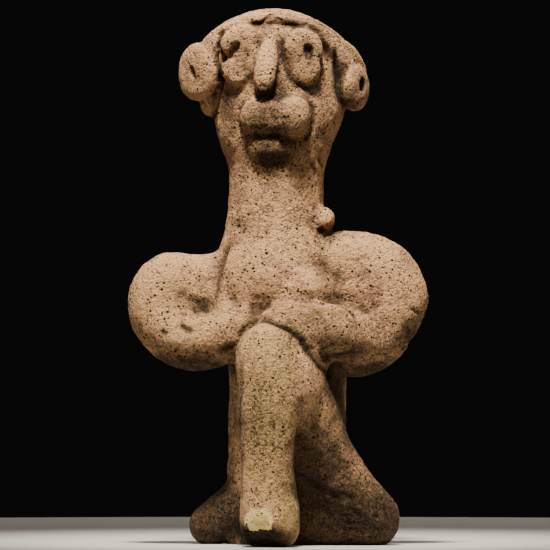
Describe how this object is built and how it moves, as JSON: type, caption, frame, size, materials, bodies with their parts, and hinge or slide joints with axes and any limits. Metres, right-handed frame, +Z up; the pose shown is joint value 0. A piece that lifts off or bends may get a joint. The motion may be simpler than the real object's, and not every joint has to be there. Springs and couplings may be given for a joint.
{
  "type": "kneeling terracotta figure",
  "caption": "Hand-built terracotta figure kneeling on its left knee, with looped arms resting on its belly, ring eyes, ear discs and a cap.",
  "frame": {"origin": "middle of the figure's box, on the ground that its underside rests on", "axes": "+Z up through the head, the figure looks along -Y, and its own left side is at +X"},
  "size_m": [0.1394, 0.1032, 0.25],
  "materials": {
    "terracotta": "dull, unglazed, sandy fired clay, pinkish tan with pits and brown dirt"
  },
  "bodies": {
    "root": {"kneeling_figure": "terracotta"}
  },
  "joints": []
}
